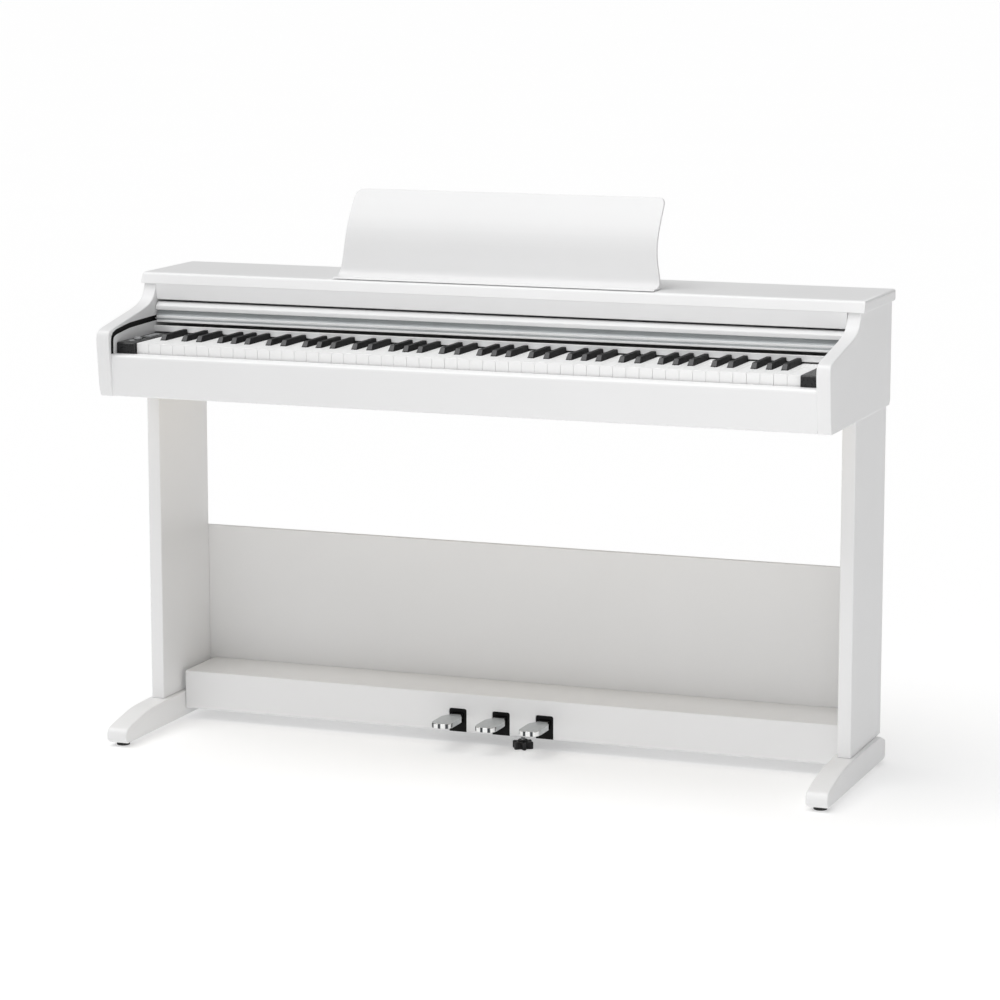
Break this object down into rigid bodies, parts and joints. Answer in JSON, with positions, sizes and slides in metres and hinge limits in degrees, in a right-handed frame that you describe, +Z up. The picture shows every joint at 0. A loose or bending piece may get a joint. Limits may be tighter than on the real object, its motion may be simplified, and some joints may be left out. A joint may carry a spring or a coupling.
{
  "type": "digital piano on stand",
  "caption": "Compact white console digital piano: full weighted keyboard with sliding fallboard, folding music rest, panel legs on sled feet, lower back board and a three-pedal box.",
  "frame": {"origin": "centre of the footprint on the floor", "axes": "+X to the treble end (the right of a seated player), +Y from the player to the back, +Z up"},
  "size_m": [1.36, 0.4049, 1.0066],
  "materials": {
    "case_white": "satin white wrap on board",
    "inner_white": "matt white",
    "key_white": "satin",
    "key_black": "fine textured matt",
    "cheek_black": "matt",
    "strip_silver": "brushed",
    "pedal_metal": "matt top, bright nose",
    "steel": "zinc plated",
    "button_grey": "matt",
    "rubber_black": "matt",
    "circuit_green": "matt",
    "chipboard": "raw",
    "felt_black": "wool felt",
    "cone_black": "matt"
  },
  "bodies": {
    "cabinet": {"cabinet_back_panel": "inner_white", "key_bed": "chipboard", "key_felt": "felt_black", "key_frame": "steel", "key_slip": "case_white", "left_back_glide": "rubber_black", "left_cheek_block": "cheek_black", "left_foot": "case_white", "left_front_glide": "rubber_black", "left_leg": "case_white", "left_rest_hinge": "steel", "left_side_panel": "case_white", "left_speaker": "cone_black", "lower_back_board": "inner_white", "main_board": "circuit_green", "name_strip": "inner_white", "pedal_box": "case_white", "pedal_bracket": "steel", "pedal_shaft": "steel", "pedal_window_trim": "cheek_black", "right_back_glide": "rubber_black", "right_cheek_block": "cheek_black", "right_foot": "case_white", "right_front_glide": "rubber_black", "right_leg": "case_white", "right_rest_hinge": "steel", "right_side_panel": "case_white", "right_speaker": "cone_black", "socket_panel": "cheek_black", "top_board": "case_white", "upper_front_rail": "case_white"},
    "bass_white_keys": {"bass_white_keys": "key_white"},
    "bass_black_keys": {"bass_black_keys": "key_black"},
    "treble_white_keys": {"treble_white_keys": "key_white"},
    "treble_black_keys": {"treble_black_keys": "key_black"},
    "key_C4": {"key_C4": "key_white"},
    "key_D4": {"key_D4": "key_white"},
    "key_E4": {"key_E4": "key_white"},
    "key_F4": {"key_F4": "key_white"},
    "key_G4": {"key_G4": "key_white"},
    "key_A4": {"key_A4": "key_white"},
    "key_B4": {"key_B4": "key_white"},
    "key_Cs4": {"key_Cs4": "key_black"},
    "key_Ds4": {"key_Ds4": "key_black"},
    "key_Fs4": {"key_Fs4": "key_black"},
    "key_Gs4": {"key_Gs4": "key_black"},
    "key_As4": {"key_As4": "key_black"},
    "fallboard": {"fallboard": "case_white", "fallboard_strip": "strip_silver"},
    "music_rest": {"music_rest": "case_white"},
    "power_button": {"power_button": "button_grey"},
    "volume_slider": {"volume_slider": "button_grey"},
    "sound_button": {"sound_button": "button_grey"},
    "metronome_button": {"metronome_button": "button_grey"},
    "play_button": {"play_button": "button_grey"},
    "soft_pedal": {"soft_pedal": "pedal_metal"},
    "sostenuto_pedal": {"sostenuto_pedal": "pedal_metal"},
    "sustain_pedal": {"sustain_pedal": "pedal_metal"},
    "support_stem": {"support_stem": "steel"},
    "support_knob": {"support_knob": "rubber_black"}
  },
  "joints": [
    {"name": "bass_white_keys_press", "type": "hinge", "parent": "cabinet", "child": "bass_white_keys", "pos_m": [0, 0.0655, 0.723], "axis": [1, 0, 0], "range_deg": [0, 2.5], "stiffness_Nm_per_rad": 50.6, "springref_deg": -6.88},
    {"name": "bass_black_keys_press", "type": "hinge", "parent": "cabinet", "child": "bass_black_keys", "pos_m": [0, 0.0655, 0.723], "axis": [1, 0, 0], "range_deg": [0, 2.5], "stiffness_Nm_per_rad": 35.2, "springref_deg": -6.88},
    {"name": "treble_white_keys_press", "type": "hinge", "parent": "cabinet", "child": "treble_white_keys", "pos_m": [0, 0.0655, 0.723], "axis": [1, 0, 0], "range_deg": [0, 2.5], "stiffness_Nm_per_rad": 48.4, "springref_deg": -6.88},
    {"name": "treble_black_keys_press", "type": "hinge", "parent": "cabinet", "child": "treble_black_keys", "pos_m": [0, 0.0655, 0.723], "axis": [1, 0, 0], "range_deg": [0, 2.5], "stiffness_Nm_per_rad": 33, "springref_deg": -6.88},
    {"name": "key_C4_press", "type": "hinge", "parent": "cabinet", "child": "key_C4", "pos_m": [0, 0.0655, 0.723], "axis": [1, 0, 0], "range_deg": [0, 2.5], "stiffness_Nm_per_rad": 2.2, "springref_deg": -6.88},
    {"name": "key_D4_press", "type": "hinge", "parent": "cabinet", "child": "key_D4", "pos_m": [0, 0.0655, 0.723], "axis": [1, 0, 0], "range_deg": [0, 2.5], "stiffness_Nm_per_rad": 2.2, "springref_deg": -6.88},
    {"name": "key_E4_press", "type": "hinge", "parent": "cabinet", "child": "key_E4", "pos_m": [0, 0.0655, 0.723], "axis": [1, 0, 0], "range_deg": [0, 2.5], "stiffness_Nm_per_rad": 2.2, "springref_deg": -6.88},
    {"name": "key_F4_press", "type": "hinge", "parent": "cabinet", "child": "key_F4", "pos_m": [0, 0.0655, 0.723], "axis": [1, 0, 0], "range_deg": [0, 2.5], "stiffness_Nm_per_rad": 2.2, "springref_deg": -6.88},
    {"name": "key_G4_press", "type": "hinge", "parent": "cabinet", "child": "key_G4", "pos_m": [0, 0.0655, 0.723], "axis": [1, 0, 0], "range_deg": [0, 2.5], "stiffness_Nm_per_rad": 2.2, "springref_deg": -6.88},
    {"name": "key_A4_press", "type": "hinge", "parent": "cabinet", "child": "key_A4", "pos_m": [0, 0.0655, 0.723], "axis": [1, 0, 0], "range_deg": [0, 2.5], "stiffness_Nm_per_rad": 2.2, "springref_deg": -6.88},
    {"name": "key_B4_press", "type": "hinge", "parent": "cabinet", "child": "key_B4", "pos_m": [0, 0.0655, 0.723], "axis": [1, 0, 0], "range_deg": [0, 2.5], "stiffness_Nm_per_rad": 2.2, "springref_deg": -6.88},
    {"name": "key_Cs4_press", "type": "hinge", "parent": "cabinet", "child": "key_Cs4", "pos_m": [0, 0.0655, 0.723], "axis": [1, 0, 0], "range_deg": [0, 2.5], "stiffness_Nm_per_rad": 2.2, "springref_deg": -6.88},
    {"name": "key_Ds4_press", "type": "hinge", "parent": "cabinet", "child": "key_Ds4", "pos_m": [0, 0.0655, 0.723], "axis": [1, 0, 0], "range_deg": [0, 2.5], "stiffness_Nm_per_rad": 2.2, "springref_deg": -6.88},
    {"name": "key_Fs4_press", "type": "hinge", "parent": "cabinet", "child": "key_Fs4", "pos_m": [0, 0.0655, 0.723], "axis": [1, 0, 0], "range_deg": [0, 2.5], "stiffness_Nm_per_rad": 2.2, "springref_deg": -6.88},
    {"name": "key_Gs4_press", "type": "hinge", "parent": "cabinet", "child": "key_Gs4", "pos_m": [0, 0.0655, 0.723], "axis": [1, 0, 0], "range_deg": [0, 2.5], "stiffness_Nm_per_rad": 2.2, "springref_deg": -6.88},
    {"name": "key_As4_press", "type": "hinge", "parent": "cabinet", "child": "key_As4", "pos_m": [0, 0.0655, 0.723], "axis": [1, 0, 0], "range_deg": [0, 2.5], "stiffness_Nm_per_rad": 2.2, "springref_deg": -6.88},
    {"name": "fallboard_slide", "type": "slide", "parent": "cabinet", "child": "fallboard", "axis": [0, -0.9987, -0.0514], "range_m": [0, 0.168]},
    {"name": "music_rest_fold", "type": "hinge", "parent": "cabinet", "child": "music_rest", "pos_m": [0, 0.04, 0.8529], "axis": [1, 0, 0], "range_deg": [-66, 0]},
    {"name": "power_button_press", "type": "slide", "parent": "cabinet", "child": "power_button", "axis": [0, 0, -1], "range_m": [0, 0.0015], "stiffness_N_per_m": 600, "springref_m": -0.001},
    {"name": "sound_button_press", "type": "slide", "parent": "cabinet", "child": "sound_button", "axis": [0, 0, -1], "range_m": [0, 0.0015], "stiffness_N_per_m": 600, "springref_m": -0.001},
    {"name": "metronome_button_press", "type": "slide", "parent": "cabinet", "child": "metronome_button", "axis": [0, 0, -1], "range_m": [0, 0.0015], "stiffness_N_per_m": 600, "springref_m": -0.001},
    {"name": "play_button_press", "type": "slide", "parent": "cabinet", "child": "play_button", "axis": [0, 0, -1], "range_m": [0, 0.0015], "stiffness_N_per_m": 600, "springref_m": -0.001},
    {"name": "volume_slide", "type": "slide", "parent": "cabinet", "child": "volume_slider", "axis": [0, 1, 0], "range_m": [0, 0.024]},
    {"name": "soft_pedal_press", "type": "hinge", "parent": "cabinet", "child": "soft_pedal", "pos_m": [0, 0.1275, 0.05], "axis": [1, 0, 0], "range_deg": [0, 6], "stiffness_Nm_per_rad": 14, "springref_deg": -6.88},
    {"name": "sostenuto_pedal_press", "type": "hinge", "parent": "cabinet", "child": "sostenuto_pedal", "pos_m": [0, 0.1275, 0.05], "axis": [1, 0, 0], "range_deg": [0, 6], "stiffness_Nm_per_rad": 14, "springref_deg": -6.88},
    {"name": "sustain_pedal_press", "type": "hinge", "parent": "cabinet", "child": "sustain_pedal", "pos_m": [0, 0.1275, 0.05], "axis": [1, 0, 0], "range_deg": [0, 6], "stiffness_Nm_per_rad": 14, "springref_deg": -6.88},
    {"name": "support_stem_lift", "type": "slide", "parent": "cabinet", "child": "support_stem", "axis": [0, 0, 1], "range_m": [0, 0.0045]},
    {"name": "support_knob_turn", "type": "hinge", "parent": "support_stem", "child": "support_knob", "pos_m": [0.036, 0.069, 0.007], "axis": [0, 0, -1], "range_deg": [0, 1081]}
  ],
  "couplings": [
    {"joint": "support_knob_turn", "follows": "support_stem_lift", "rad_per_m": 4188.8}
  ]
}
